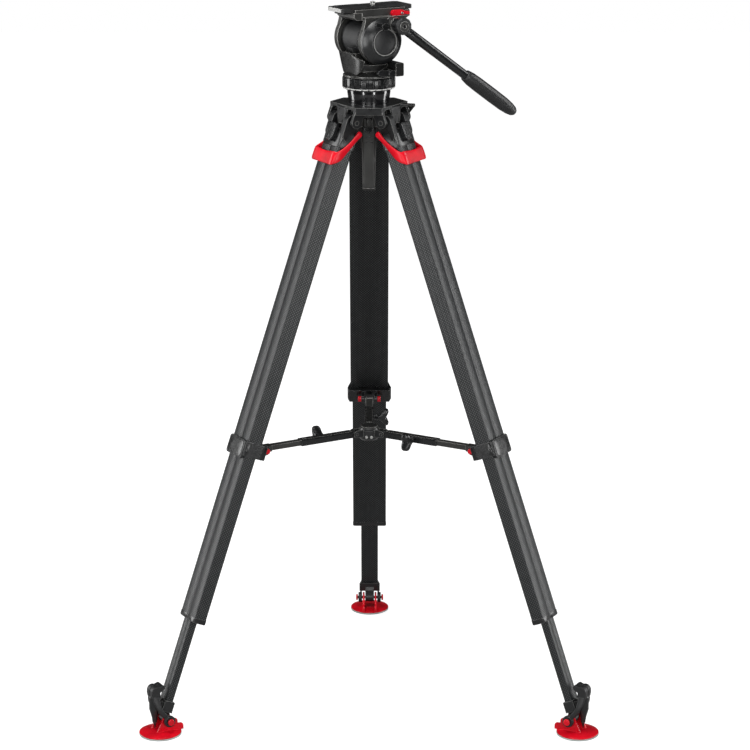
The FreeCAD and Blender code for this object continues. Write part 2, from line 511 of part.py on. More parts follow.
# ---------------------------------------------------------------- spreader
def spreader():
    px, pz = HUB_PIVOT
    hub = turned([(0, 490.0), (15.0, 490.0), (18.5, 494.0), (19.5, 509.0), (17.0, 513.0), (0, 514.0)])
    for azimuth in LEG_AZIMUTH.values():
        for lug in both(slot_plate([(px, pz), (14.0, pz)], 6.4, 5.5, 9.4)):
            hub = joined(hub, turn(lug, azimuth))
    for azimuth in LEG_AZIMUTH.values():
        hub = hub.cut(turn(rod(2.5 + RUNNING, (px, -20, pz), (px, 20, pz)), azimuth))
        hub = hub.cut(turn(box(px - 8.0, px + 20, -5.5, 5.5, 480, 520), azimuth))
    save("spreader_hub", hub)

    width, height = ARM_SECTION[0] / 2, ARM_SECTION[1] / 2
    sw, sh = SLIDER_SECTION[0] / 2, SLIDER_SECTION[1] / 2
    bx, bz = BRACKET_PIVOT
    for name, azimuth in LEG_AZIMUTH.items():
        arm = box(px + 8.2, ARM_END_R, -width, width, pz - height, pz + height)
        arm = rounded(arm, 2.0, along((1, 0, 0)))
        arm = arm.cut(box(px + 10.4, 200, -sw - 0.35, sw + 0.35, pz - sh - 0.35, pz + sh + 0.35))
        arm = joined(arm, slot_plate([(px, pz), (px + 4.2, pz)], 5.6, -5.2, 5.2),
                     rod(2.5, (px, -9.4, pz), (px, 9.4, pz)),
                     rod(5.0, (WING_R, -width - 1.5, pz), (WING_R, -width + 0.5, pz)))
        arm = arm.cut(rod(2.0 + RUNNING, (WING_R, -20, pz), (WING_R, -sw, pz)))
        save("spreader_arm_" + name, turn(arm, azimuth))

        slider = box(px + 72.0, bx - 15.5, -sw, sw, pz - sh, pz + sh)
        clip = rounded(box(bx - 16.0, bx - 6.0, -8.0, 8.0, pz - 6.5, pz + 5.5), 1.5, along((1, 0, 0)))
        tongue = slot_plate([(bx - 10.0, bz), (bx, bz)], 5.5, -6.0, 6.0)
        save("spreader_slider_" + name, turn(joined(slider, clip, tongue), azimuth))

        wing = [prism([(WING_R - 2.5, -13.0, pz - 5), (WING_R - 2.5, -34.0, pz - 12.5),
                       (WING_R - 2.5, -36.0, pz - 6), (WING_R - 2.5, -30.0, pz), (WING_R - 2.5, -36.0, pz + 6),
                       (WING_R - 2.5, -34.0, pz + 12.5), (WING_R - 2.5, -13.0, pz + 5)], (5.0, 0, 0)),
                rod(5.5, (WING_R, -18.0, pz), (WING_R, -11.0, pz)),
                rod(2.0, (WING_R, -12.0, pz), (WING_R, -sw - 0.6, pz))]
        save("wing_screw_" + name, turn(joined(*wing), azimuth))


bowl_casting()
half_ball()
clamp_handle()
pan_parts()
tilt_parts()
bar_parts()
plate_parts()
for leg_name, leg_azimuth in LEG_AZIMUTH.items():
    leg_parts(leg_name, leg_azimuth)
spreader()
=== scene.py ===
"""Looks of a camera tripod with a fluid head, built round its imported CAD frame.

Shapes are given in millimetres in three local frames, and placed by the record's joints:
a leg's (x out, y across, z up the leg from its hinge), a leg's upright one (x radial,
y across, z height) and the head's (x to the lens, y to the pan bar's side, z height).
"""
import json
import math

import bmesh
import bpy
from mathutils import Matrix, Vector


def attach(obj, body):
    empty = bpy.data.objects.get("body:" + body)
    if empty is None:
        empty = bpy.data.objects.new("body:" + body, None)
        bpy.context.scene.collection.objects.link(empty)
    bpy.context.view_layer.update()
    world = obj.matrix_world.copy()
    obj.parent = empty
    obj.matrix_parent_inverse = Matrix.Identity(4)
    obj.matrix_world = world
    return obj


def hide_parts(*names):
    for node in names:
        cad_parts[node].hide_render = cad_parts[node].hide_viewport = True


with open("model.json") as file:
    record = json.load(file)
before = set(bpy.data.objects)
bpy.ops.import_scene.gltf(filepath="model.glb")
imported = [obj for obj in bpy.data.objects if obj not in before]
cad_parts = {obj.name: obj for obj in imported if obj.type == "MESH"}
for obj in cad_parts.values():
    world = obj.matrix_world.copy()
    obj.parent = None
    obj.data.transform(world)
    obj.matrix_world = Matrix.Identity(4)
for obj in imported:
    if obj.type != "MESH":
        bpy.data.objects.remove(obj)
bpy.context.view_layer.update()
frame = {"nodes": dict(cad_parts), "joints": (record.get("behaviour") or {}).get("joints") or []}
JOINTS = {joint["name"]: joint for joint in frame["joints"]}
LEGS = ("rear", "left", "right")
MM = Matrix.Scale(0.001, 4)
WEAVE = "weave"

# Floor, camera and lights, in metres in the row frame
FLOOR_GREY = 0.4
FLOOR_LIT_R = 0.6            # the floor shows its shadows within this distance
FLOOR_GLOW_R = 1.8           # and is plain white beyond this one
FLOOR_GLOW = (0.8, 1.0)      # its own glow inside and outside them, for the camera alone
CAMERA_PLACE = (0.0109, -4.68, 1.878)
CAMERA_DROP = 15.15          # degrees below the horizontal
CAMERA_LENS = 127.7          # millimetres, on a sensor 36 wide
WORLD_LIGHT = 0.04
LIGHTS = (                   # name, place, aim, size and watts
    ("left_box", (-2.6, 0.5, 1.3), (0.0, 0.0, 0.7), (0.7, 2.8), 46.0),
    ("right_box", (2.6, 0.5, 1.3), (0.0, 0.0, 0.7), (0.7, 2.8), 46.0),
    ("top_box", (-0.4, -0.6, 3.2), (0.0, 0.0, 0.9), (1.2, 1.2), 50.0),
    ("front_fill", (0.0, -4.2, 2.4), (0.0, 0.0, 0.8), (1.6, 1.6), 40.0),
    ("left_strip", (-1.4, -2.6, 1.2), (0.0, 0.0, 0.9), (0.25, 1.8), 30.0),
    ("right_strip", (1.4, -2.6, 1.2), (0.0, 0.0, 0.9), (0.25, 1.8), 30.0),
)

# Legs, in the leg's frame: section (n out, half width across) and reach s down the leg
UPPER = {"n": (-14.0, 12.4), "half": (36.8, 28.7), "s": (46.0, 618.0), "wall": 1.3}
MIDDLE = {"n": (-11.8, 10.2), "half": (33.2, 27.4), "s": (361.0, 934.0), "wall": 1.6}
LOWER = {"n": (-4.3, 8.0), "half": (17.3, 12.3), "s": (580.0, 1104.0), "wall": 1.5}
SLIDE_GAP = 0.4
SEAL_S = (612.0, 618.4)
BRACKET_S = (594.5, 620.0)
BAND_INNER = 2.0             # extra thickness of the bracket band's inner face, in band thicknesses

# Spreader, in the leg's upright frame
ARM_Z = 504.5                # height of the arms' middle
WING_R = 94.0                # radius of the wing screws
BRACKET_PIVOT = (220.8, 503.5)    # radius and height of the arms' far ends

# Feet, in the leg's upright frame
PAD_CENTRE = 434.3
PAD_R = 38.2
PAD_INNER_CUT = -37.2        # the pad is cut flat towards the tripod's middle
FIN_SIDE = (10.2, 13.8)      # the pad's two fins, sideways
STRAP_EYE_SIDE = 19.0
ANKLE_BUTTON_SIDE = 25.6

# Fluid head, in its own frame
ROUND_STEPS = 96             # corners of its large round pieces
MEDALLION_Z = 1070.0         # the clamp handle's medallion
MARKS_Z = (1051.0, 1042.0, 1033.0)    # its arrow marks
BAR_DROP = 35.5              # pan bar, degrees below the horizontal
PLATE_REAR, PLATE_FRONT = -74.0, 69.0
PLATE_HALF = 26.0
SCREW_X = -8.0               # camera screw


# ---------------------------------------------------------------- local frames
def axes_frame(origin, x, y, z):
    """Matrix from local millimetres to the row frame."""
    turn = Matrix((x, y, z)).transposed().to_4x4()
    return Matrix.Translation(origin) @ turn @ MM


def leg_frame(leg):
    hinge = Vector(JOINTS["leg_fold_" + leg]["pos_m"])
    up = -Vector(JOINTS["extend_middle_" + leg]["axis"])
    across = Vector((-hinge.y, hinge.x, 0.0)).normalized()
    return axes_frame(hinge, across.cross(up), across, up)


def upright_frame(leg):
    hinge = Vector(JOINTS["leg_fold_" + leg]["pos_m"])
    out = Vector((hinge.x, hinge.y, 0.0)).normalized()
    up = Vector((0.0, 0.0, 1.0))
    return axes_frame(Vector(), out, up.cross(out), up)


def head_frame():
    lens = Vector(JOINTS["plate_slide"]["axis"])
    up = Vector((0.0, 0.0, 1.0))
    return axes_frame(Vector(), lens, up.cross(lens), up)


HEAD = head_frame()
BOWL = MM


# ---------------------------------------------------------------- mesh building
class Shape:
    """Faces gathered in local millimetres, then turned into one piece."""

    def __init__(self):
        self.bm = bmesh.new()

    def loft(self, rings, closed=False, weave=False):
        """Skin between rings with equal numbers of points, capped unless the rings close up."""
        rows = [[self.bm.verts.new(point) for point in ring] for ring in rings]
        cloth = self.bm.loops.layers.uv.new(WEAVE) if weave else None
        reach = [0.0]
        for a, b in zip(rows[0], rows[0][1:] + rows[0][:1]):
            reach.append(reach[-1] + (b.co - a.co).length * 0.001)
        pairs = list(zip(rows, rows[1:]))
        if closed:
            pairs.append((rows[-1], rows[0]))
        for low, high in pairs:
            for i, vertex in enumerate(low):
                j = (i + 1) % len(low)
                face = self.bm.faces.new((vertex, low[j], high[j], high[i]))
                if weave:
                    for loop, u in zip(face.loops, (reach[i], reach[i + 1], reach[i + 1], reach[i])):
                        loop[cloth].uv = (u, loop.vert.co.z * 0.001)
        if not closed:
            self.bm.faces.new(rows[0][::-1])
            self.bm.faces.new(rows[-1])
        return self

    def prism(self, outline, low, high):
        """An (x, z) outline pushed along y from low to high."""
        return self.loft([[Vector((x, y, z)) for x, z in outline] for y in (low, high)])

    def block(self, low, high):
        outline = ((low[0], low[2]), (high[0], low[2]), (high[0], high[2]), (low[0], high[2]))
        return self.prism(outline, low[1], high[1])

    def lathe(self, profile, steps, place=None):
        """A closed (radius, z) profile turned about z."""
        place = place or Matrix.Identity(4)
        rings = []
        for i in range(steps):
            a = 2 * math.pi * i / steps
            rings.append([place @ Vector((r * math.cos(a), r * math.sin(a), z)) for r, z in profile])
        rows = [[self.bm.verts.new(point) for point in ring] for ring in rings]
        for i, row in enumerate(rows):
            following = rows[(i + 1) % steps]
            for j in range(len(profile)):
                k = (j + 1) % len(profile)
                self.bm.faces.new((row[j], following[j], following[k], row[k]))
        return self

    def sweep(self, stations, corners=20, square=4.0):
        """Rounded bar through (centre, side vector, half width along it, half height) stations."""
        centres = [Vector(station[0]) for station in stations]
        rings = []
        for i, (_, side, wide, high) in enumerate(stations):
            along = (centres[min(i + 1, len(centres) - 1)] - centres[max(i - 1, 0)]).normalized()
            side = Vector(side).normalized()
            up = along.cross(side).normalized()
            rings.append([centres[i] + side * wide * x + up * high * y
                          for x, y in superellipse(corners, square)])
        return self.loft(rings)

    def piece(self, name, place, body, finish, slot, replaces=(), bevel=0.0, crease=35.0):
        """The shape as an object that rides on a body, with its finish."""
        bmesh.ops.remove_doubles(self.bm, verts=self.bm.verts, dist=0.002)
        bmesh.ops.recalc_face_normals(self.bm, faces=self.bm.faces)
        mesh = bpy.data.meshes.new(name)
        self.bm.to_mesh(mesh)
        self.bm.free()
        mesh.transform(place)
        made = bpy.data.objects.new(name, mesh)
        bpy.context.scene.collection.objects.link(made)
        if bevel:
            modifier = made.modifiers.new("edges", "BEVEL")
            modifier.width = bevel * 0.001
            modifier.segments = 2
            modifier.limit_method = "ANGLE"
            modifier.angle_limit = math.radians(crease)
        mesh.shade_smooth()
        mesh.set_sharp_from_angle(angle=math.radians(crease))
        mesh.materials.append(finish)
        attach(made, body)
        if replaces:
            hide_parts(*replaces)
        return made


def superellipse(corners, square):
    points = []
    for i in range(corners):
        a = 2 * math.pi * (i + 0.5) / corners
        c, s = math.cos(a), math.sin(a)
        points.append((math.copysign(abs(c) ** (2 / square), c), math.copysign(abs(s) ** (2 / square), s)))
    return points


def arc(centre, radius, start, end, steps):
    """Points of a circular arc, angles in degrees."""
    angles = [math.radians(start + (end - start) * i / steps) for i in range(steps + 1)]
    return [(centre[0] + radius * math.cos(a), centre[1] + radius * math.sin(a)) for a in angles]


def along_y(x, z, y=0.0):
    """Place for a lathe whose axis is y, through (x, z)."""
    return Matrix.Translation((x, y, z)) @ Matrix.Rotation(math.radians(-90), 4, "X")


# ---------------------------------------------------------------- finishes
class Finish:
    """A Principled material with the node set-ups that the finishes share."""

    def __init__(self, name, roughness, metallic=0.0, coat=0.0, coat_roughness=0.15, specular=0.5):
        self.material = bpy.data.materials.new(name)
        self.material.use_nodes = True
        self.nodes = self.material.node_tree.nodes
        self.shader = self.nodes["Principled BSDF"]
        self.shader.inputs["Roughness"].default_value = roughness
        self.shader.inputs["Metallic"].default_value = metallic
        self.shader.inputs["Coat Weight"].default_value = coat
        self.shader.inputs["Coat Roughness"].default_value = coat_roughness
        self.shader.inputs["Specular IOR Level"].default_value = specular

    def link(self, source, target):
        self.material.node_tree.links.new(source, target)

    def add(self, kind, links=(), **values):
        """A node with some inputs set and some linked, by the inputs' places."""
        node = self.nodes.new(kind)
        for key, value in values.items():
            if key.startswith("in"):
                node.inputs[int(key[2:])].default_value = value
            else:
                setattr(node, key, value)
        for place, source in links:
            self.link(source, node.inputs[place])
        return node

    def math(self, operation, a, b=0.0):
        node = self.nodes.new("ShaderNodeMath")
        node.operation = operation
        for place, value in enumerate((a, b)):
            if isinstance(value, (int, float)):
                node.inputs[place].default_value = value
            else:
                self.link(value, node.inputs[place])
        return node.outputs[0]

    def mix(self, factor, low, high):
        node = self.nodes.new("ShaderNodeMix")
        node.data_type = "RGBA"
        for socket, value in (("Factor_Float", factor), ("A_Color", low), ("B_Color", high)):
            target = next(s for s in node.inputs if s.identifier == socket)
            if isinstance(value, tuple):
                target.default_value = (*value, 1.0)
            else:
                self.link(value, target)
        return next(s for s in node.outputs if s.identifier == "Result_Color")

    def noise(self, size_mm, detail=2.0, vector=None):
        node = self.add("ShaderNodeTexNoise")
        node.inputs["Scale"].default_value = 1000.0 / size_mm
        node.inputs["Detail"].default_value = detail
        if vector is None:
            vector = self.add("ShaderNodeTexCoord").outputs["Object"]
        self.link(vector, node.inputs["Vector"])
        return node.outputs["Fac"]

    def ramp(self, value, low, high):
        node = self.add("ShaderNodeMapRange", in1=low, in2=high)
        self.link(value, node.inputs[0])
        return node.outputs[0]

    def rounded_normal(self, radius_mm):
        node = self.add("ShaderNodeBevel", samples=8)
        node.inputs["Radius"].default_value = radius_mm * 0.001
        return node.outputs[0]

    def painted_highlight_mask(self, rounded):
        """1 on outer and inner edges, 0 on open surfaces: where the finishes paint a highlight."""
        geometry = self.add("ShaderNodeNewGeometry")
        dot = self.add("ShaderNodeVectorMath", operation="DOT_PRODUCT")
        self.link(rounded, dot.inputs[0])
        self.link(geometry.outputs["Normal"], dot.inputs[1])
        return self.ramp(dot.outputs["Value"], 0.995, 0.90)

    def bump(self, height, depth_mm, normal):
        node = self.add("ShaderNodeBump")
        node.inputs["Distance"].default_value = depth_mm * 0.001
        node.inputs["Strength"].default_value = 1.0
        self.link(height, node.inputs["Height"])
        self.link(normal, node.inputs["Normal"])
        self.link(node.outputs[0], self.shader.inputs["Normal"])

    def colour(self, source):
        self.link(source, self.shader.inputs["Base Color"])


def grained(name, colour, edge_highlight, roughness, grain_mm, grain_depth, radius_mm=0.9, **more):
    """Moulded or painted surface: fine grain, slow colour change, and a painted highlight on its edges."""
    finish = Finish(name, roughness, **more)
    rounded = finish.rounded_normal(radius_mm)
    patches = finish.ramp(finish.noise(35.0, 3.0), 0.35, 0.65)
    darker = tuple(channel * 0.8 for channel in colour)
    lighter = tuple(channel * 1.2 for channel in colour)
    body = finish.mix(patches, darker, lighter)
    # lighter colour on the edges: a painted highlight
    finish.colour(finish.mix(finish.painted_highlight_mask(rounded), body, edge_highlight))
    rough = finish.ramp(finish.noise(9.0, 2.0), 0.2, 0.8)
    spread = finish.add("ShaderNodeMapRange", [(0, rough)], in3=roughness - 0.05, in4=roughness + 0.07)
    finish.link(spread.outputs[0], finish.shader.inputs["Roughness"])
    finish.bump(finish.noise(grain_mm, 2.0), grain_depth, rounded)
    return finish.material


def woven(name, dark, light, corner, pitch_mm=2.6):
    """Carbon cloth under satin resin: warp and weft tows crown over each other by turns; a painted
    highlight lies along its rounded edges.
    """
    finish = Finish(name, 0.36, coat=0.1, coat_roughness=0.25, specular=0.3)
    uv = finish.add("ShaderNodeUVMap", uv_map=WEAVE).outputs[0]
    split = finish.add("ShaderNodeSeparateXYZ", [(0, uv)])
    across = finish.math("MULTIPLY", split.outputs[0], 1000.0 / pitch_mm)
    along = finish.math("MULTIPLY", split.outputs[1], 1000.0 / pitch_mm)
    cells = finish.math("ADD", finish.math("FLOOR", across), finish.math("FLOOR", along))
    over = finish.math("PINGPONG", cells, 1.0)
    crown_across = finish.math("ABSOLUTE", finish.math("SINE", finish.math("MULTIPLY", across, math.pi)))
    crown_along = finish.math("ABSOLUTE", finish.math("SINE", finish.math("MULTIPLY", along, math.pi)))
    height = finish.add("ShaderNodeMix", data_type="FLOAT")
    finish.link(over, height.inputs[0])
    finish.link(crown_across, height.inputs[2])
    finish.link(crown_along, height.inputs[3])
    crowns = finish.math("MULTIPLY", crown_along, crown_across)
    tows = finish.math("MULTIPLY", over, finish.math("POWER", crowns, 2.0))
    body = finish.mix(tows, dark, light)
    streak = finish.ramp(finish.noise(14.0, 3.0), 0.3, 0.7)
    streaked = finish.mix(finish.math("MULTIPLY", streak, 0.05), body, light)
    rounded = finish.rounded_normal(1.6)
    # the corner colour on the edges is a painted highlight
    finish.colour(finish.mix(finish.painted_highlight_mask(rounded), streaked, corner))
    finish.bump(height.outputs[0], 0.12, rounded)
    return finish.material


def brushed(name, colour, roughness):
    """Bare metal with fine lathe or brush lines."""
    finish = Finish(name, roughness, metallic=1.0)
    stretched = finish.add("ShaderNodeMapping", [(0, finish.add("ShaderNodeTexCoord").outputs["Object"])])
    stretched.inputs["Scale"].default_value = (0.3, 0.3, 6.0)
    lines = finish.noise(1.0, 3.0, stretched.outputs[0])
    darker = tuple(channel * 0.75 for channel in colour)
    finish.colour(finish.mix(lines, darker, colour))
    finish.bump(lines, 0.01, finish.rounded_normal(0.3))
    return finish.material


# The second colour of each grained finish and the last colour of the carbon cloth are painted highlights on
# the edges
CARBON = woven("carbon_cloth", (0.003, 0.0036, 0.0042), (0.1, 0.106, 0.108), (0.2, 0.2, 0.195))
CASTING = grained("cast_black", (0.008, 0.0085, 0.009), (0.2, 0.2, 0.19), 0.3, 0.9, 0.02)
SHELL = grained("head_graphite", (0.014, 0.014, 0.0135), (0.34, 0.335, 0.32), 0.28, 0.6, 0.015,
                metallic=0.2)
SATIN = grained("satin_grey", (0.04, 0.04, 0.038), (0.5, 0.49, 0.47), 0.32, 0.6, 0.015, metallic=0.3)
PLASTIC = grained("moulded_black", (0.006, 0.0065, 0.007), (0.08, 0.08, 0.08), 0.26, 0.7, 0.015)
RIBBED = grained("ribbed_black", (0.006, 0.0065, 0.007), (0.06, 0.06, 0.06), 0.22, 0.7, 0.008,
                 radius_mm=0.25)
RED = grained("moulded_red", (0.6, 0.002, 0.012), (0.8, 0.02, 0.035), 0.32, 1.2, 0.02, specular=0.3)
RUBBER = grained("black_rubber", (0.008, 0.0084, 0.009), (0.028, 0.029, 0.03), 0.45, 1.4, 0.03)
GLOSS = grained("polished_black", (0.006, 0.006, 0.007), (0.05, 0.05, 0.05), 0.14, 4.0, 0.004, coat=0.6)
ANODISED = grained("anodised_black", (0.02, 0.02, 0.02), (0.45, 0.45, 0.43), 0.4, 0.5, 0.02, metallic=0.5)
SOLE = grained("grey_sole", (0.4, 0.46, 0.44), (0.5, 0.56, 0.54), 0.7, 2.0, 0.15)
STEEL = brushed("turned_steel", (0.62, 0.62, 0.6), 0.28)
ALUMINIUM = brushed("bare_aluminium", (0.46, 0.46, 0.45), 0.5)
WHITE = grained("scale_white", (0.8, 0.8, 0.78), (0.85, 0.85, 0.83), 0.5, 1.0, 0.01)

NODE_FINISH = {
    "bowl_casting": CASTING, "leg_hinge_pins": CASTING, "half_ball": GLOSS, "clamp_handle": PLASTIC,
    "pan_drag_ring": PLASTIC, "head_base": SHELL, "pan_brake_lever": PLASTIC, "tilt_drum": RUBBER,
    "tilt_cradle": SATIN, "side_covers": PLASTIC, "tilt_drag_ring": PLASTIC, "tilt_brake_lever": PLASTIC,
    "bar_clamp_knob": RUBBER, "pan_bar": PLASTIC, "pan_bar_grip": RUBBER, "camera_plate": ANODISED,
    "camera_screw": STEEL, "plate_lever": RED, "plate_catch": RED, "spreader_hub": CASTING,
}
LEG_NODE_FINISH = {
    "top_fitting": CASTING, "brake_lever": PLASTIC, "upper_tube": CARBON, "carry_loop": RED,
    "bracket": PLASTIC, "middle_tube": CARBON, "lower_tube": CARBON, "ankle": CASTING,
    "foot_pad": RED, "foot_strap": RUBBER, "spreader_arm": PLASTIC, "spreader_slider": SATIN,
    "wing_screw": PLASTIC,
}


def finish_nodes():
    """Every CAD node gets its finish, shown or not."""
    finishes = dict(NODE_FINISH)
    for leg in LEGS:
        finishes.update({"%s_%s" % (node, leg): made for node, made in LEG_NODE_FINISH.items()})
    for node, made in finishes.items():
        shown = frame["nodes"][node]
        shown.data.materials.clear()
        shown.data.materials.append(made)


# ---------------------------------------------------------------- legs
def bend(a, corner, b, steps=4):
    """Quadratic curve from a to b round a corner."""
    out = []
    for i in range(steps + 1):
        u = i / steps
        out.append(tuple((1 - u) ** 2 * p + 2 * u * (1 - u) * q + u * u * r
                         for p, q, r in zip(a, corner, b)))
    return out


def tube_outline(spec, inset=0.0, detail=1.0):
    """(n, t) section: two crowned bands with a groove outside, fluted sides, a recess inside."""
    n0, n1 = spec["n"][0] + inset, spec["n"][1] - inset
    h0, h1 = spec["half"][0] - inset, spec["half"][1] - inset
    radius = min(3.2, h1 * 0.14)
    crown, groove, recess = 0.9 * detail, 1.3 * detail, 2.4 * detail
    side = Vector((n0 - n1, h0 - h1))
    reach = side.length
    side.normalize()
    outward = Vector((-side.y, side.x)) * (-1 if side.x > 0 else 1)
    half = [(n1 - groove, 0.0), (n1 - groove, 1.3), (n1 - crown, 2.4)]
    start, end = 2.4, h1 - radius
    half += [(n1 - crown * (2 * i / 8 - 1) ** 2, start + (end - start) * i / 8) for i in range(1, 9)]
    first = (n1 + side.x * radius, h1 + side.y * radius)
    last = (n1 + side.x * (reach - radius), h1 + side.y * (reach - radius))
    half += bend((n1 - crown, end), (n1 - crown * 0.3, h1), first)[1:]
    for i in range(1, 12):
        u = i / 12
        dip = 0.45 * detail * math.sin(math.pi * 3 * u) ** 2
        half.append((first[0] + (last[0] - first[0]) * u + outward.x * -dip,
                     first[1] + (last[1] - first[1]) * u - abs(outward.y) * dip))
    half += bend(last, (n0, h0), (n0, h0 - radius * 1.3))
    half += [(n0, h0 * 0.5), (n0 + recess, h0 * 0.4), (n0 + recess, 0.0)]
    return half + [(n, -t) for n, t in reversed(half[1:-1])]


def tube_rings(stations):
    return [[(n, t, -s) for n, t in outline] for outline, s in stations]


def leg_tubes(leg):
    place = leg_frame(leg)
    for part, spec, body, detail in (("upper", UPPER, "leg_", 1.0), ("middle", MIDDLE, "mid_", 0.9),
                                     ("lower", LOWER, "low_", 0.35)):
        outer, inner = tube_outline(spec, 0.0, detail), tube_outline(spec, spec["wall"], detail)
        s0, s1 = spec["s"]
        rings = tube_rings([(outer, s0), (outer, s1), (inner, s1), (inner, s0)])
        Shape().loft(rings, closed=True, weave=True).piece(
            "%s_shell_%s" % (part, leg), place, body + leg, CARBON, "carbon",
            replaces=["%s_tube_%s" % (part, leg)], bevel=0.3)
    end = MIDDLE["s"][1]
    lip, bore = tube_outline(MIDDLE, -0.5, 0.9), tube_outline(LOWER, -SLIDE_GAP, 0.35)
    shrunk = tube_outline(MIDDLE, 0.6, 0.9)
    rings = tube_rings([(lip, end - 9.0), (lip, end - 1.2), (shrunk, end + 0.4), (bore, end + 0.4),
                        (bore, end - 9.0)])
    Shape().loft(rings, closed=True).piece("middle_end_cap_" + leg, place, "mid_" + leg, PLASTIC,
                                           "black_plastic")
    seal = tube_outline(UPPER, 0.2, 1.0)
    bore = tube_outline(MIDDLE, -SLIDE_GAP, 0.9)
    s0, s1 = SEAL_S
    rings = tube_rings([(seal, s0), (seal, s1), (bore, s1), (bore, s0)])
    Shape().loft(rings, closed=True).piece("leg_seal_" + leg, place, "leg_" + leg, RUBBER, "rubber")


def carry_loop(leg):
    """One red strap: a wide band across the leg, with an arm up each side to a ball end."""
    side = [((-17.2, 39.2, -13.2), (-0.8, 0, -0.45), 1.0, 1.0),
            ((-16.8, 39.2, -14.5), (-0.8, 0, -0.45), 4.4, 1.9),
            ((-15.6, 39.2, -18.0), (-0.8, 0, -0.4), 5.4, 2.2),
            ((-12.5, 39.2, -24.0), (-0.85, 0, -0.38), 4.4, 1.9),
            ((-6.5, 39.2, -36.0), (-0.85, 0, -0.45), 4.2, 1.9),
            ((1.5, 39.2, -50.0), (-0.8, 0, -0.6), 5.6, 2.0),
            ((9.5, 39.0, -62.5), (-0.5, 0, -0.85), 8.5, 2.0), ((16.8, 37.0, -69.0), (0, 0, -1), 11.0, 2.0),
            ((19.8, 32.0, -70.5), (0, 0, -1), 12.2, 2.0), ((20.0, 22.0, -71.0), (0, 0, -1), 11.8, 2.0),
            ((20.0, 8.0, -71.6), (0, 0, -1), 11.2, 2.0)]
    other = [((x, -y, z), way, wide, high) for (x, y, z), way, wide, high in reversed(side)]
    Shape().sweep(smoothed(side + other, 5), corners=20, square=3.2).piece(
        "carry_strap_" + leg, leg_frame(leg), "leg_" + leg, RED, "red_plastic",
        replaces=["carry_loop_" + leg], crease=50.0)


def top_fitting(leg):
    """Chamfered collar over the fitting's body, and the brake lever's flap with its pivot cap."""
    place = leg_frame(leg)
    (n0, n1), (h0, h1) = UPPER["n"], UPPER["half"]
    rims = []
    for s, grow, top in ((15.5, -5.0, -7.0), (24.0, 0.4, 0.2), (46.5, 1.3, 1.3), (49.0, 1.3, 1.3),
                         (49.6, 0.1, 0.1)):
        rims.append([(n, t, -s) for n, t in hexagon_rim(n0 - top, n1 + top, h0 + grow, h1 + grow)])
    Shape().loft(rims).piece("fitting_collar_" + leg, place, "leg_" + leg, CASTING, "casting", bevel=0.7)
    outline = [(-12.4, -11.0), (-10.8, -9.2), (10.8, -9.2), (12.4, -11.0)]
    outline += arc((6.0, -37.0), 5.6, 0, -80, 5) + arc((-6.0, -37.0), 5.6, 260, 180, 5)
    rings = []
    for n, pinch in ((13.4, 0.97), (18.8, 1.0), (21.8, 0.98), (23.0, 0.9), (23.0, 0.8)):
        rings.append([(n + 0.02 * (z + 25), t * pinch, -25 + (z + 25) * pinch) for t, z in outline])
    lever = Shape().loft(rings)
    spin = Matrix.Translation((22.6, 0.0, -36.5)) @ Matrix.Rotation(math.radians(90), 4, "Y")
    lever.lathe([(0.0, -1.0), (4.4, -1.0), (4.4, 0.9), (3.6, 1.5), (0.0, 1.6)], 28, spin)
    lever.piece("brake_flap_" + leg, place, "leg_brake_" + leg, PLASTIC, "black_plastic",
                replaces=["brake_lever_" + leg], bevel=0.4)


def hexagon_rim(n0, n1, h0, h1):
    """Collar section with broad chamfers at its outer corners."""
    half = [(n1, h1 * 0.72), (n1 - 3.4, h1 + 0.4), (n0 + 3.0, h0 - 0.2), (n0, h0 - 3.0)]
    return half + [(n, -t) for n, t in reversed(half)]


def smoothed(stations, steps):
    """Catmull-Rom curve through sweep stations."""
    flat = [(*c, *side, wide, high) for c, side, wide, high in stations]
    out = []
    for i in range(len(flat) - 1):
        a, b, c, d = (flat[max(i - 1, 0)], flat[i], flat[i + 1], flat[min(i + 2, len(flat) - 1)])
        for k in range(steps):
            u = k / steps
            row = [0.5 * (2 * q + (r - p) * u + (2 * p - 5 * q + 4 * r - w) * u * u
                          + (3 * q - p - 3 * r + w) * u ** 3)
                   for p, q, r, w in zip(a, b, c, d)]
            out.append((row[:3], row[3:6], row[6], row[7]))
    out.append((flat[-1][:3], flat[-1][3:6], flat[-1][6], flat[-1][7]))
    return out


